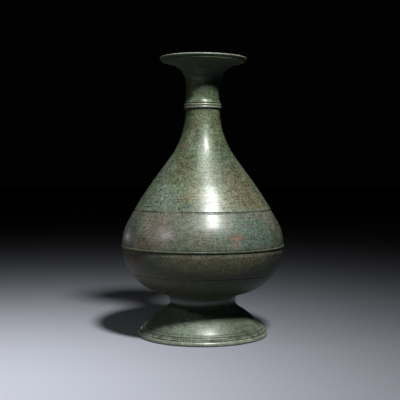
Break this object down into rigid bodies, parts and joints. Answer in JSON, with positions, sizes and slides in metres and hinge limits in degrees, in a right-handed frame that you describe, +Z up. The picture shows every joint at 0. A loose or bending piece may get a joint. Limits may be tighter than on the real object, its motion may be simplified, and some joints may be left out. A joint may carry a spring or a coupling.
{
  "type": "bronze hu vessel",
  "caption": "Pear-shaped bronze bottle with a trumpet mouth, ridged neck collar, ledged belly and splayed hollow foot with a beaded rim, built of turned sections soldered in laps.",
  "frame": {"origin": "centre of the flat ring under the foot", "axes": "+Z up along the turning axis, through the middle of the mouth; X and Y are any two directions, since the vessel is round"},
  "size_m": [0.1696, 0.1696, 0.289],
  "materials": {
    "foot_bronze": "green-grey patina, semi-gloss, worn on the ridges",
    "border_bronze": "green-grey patina with dark earth between the beads",
    "bowl_bronze": "dark olive-brown patina, satin",
    "belly_bronze": "mottled green and purple-brown patina, semi-gloss",
    "shoulder_bronze": "olive and blue-green patina, semi-gloss, with turning lines",
    "collar_bronze": "olive patina, rubbed on the ridges",
    "mouth_bronze": "olive-green patina, semi-gloss",
    "solder": "dull grey tin-lead solder"
  },
  "bodies": {
    "root": {"foot": "foot_bronze", "beaded_border": "border_bronze", "bowl": "bowl_bronze", "belly_band": "belly_bronze", "neck_shoulder": "shoulder_bronze", "neck_collar": "collar_bronze", "mouth": "mouth_bronze", "solder_foot": "solder", "solder_belly": "solder", "solder_shoulder": "solder", "solder_neck": "solder", "solder_collar": "solder"}
  },
  "joints": []
}
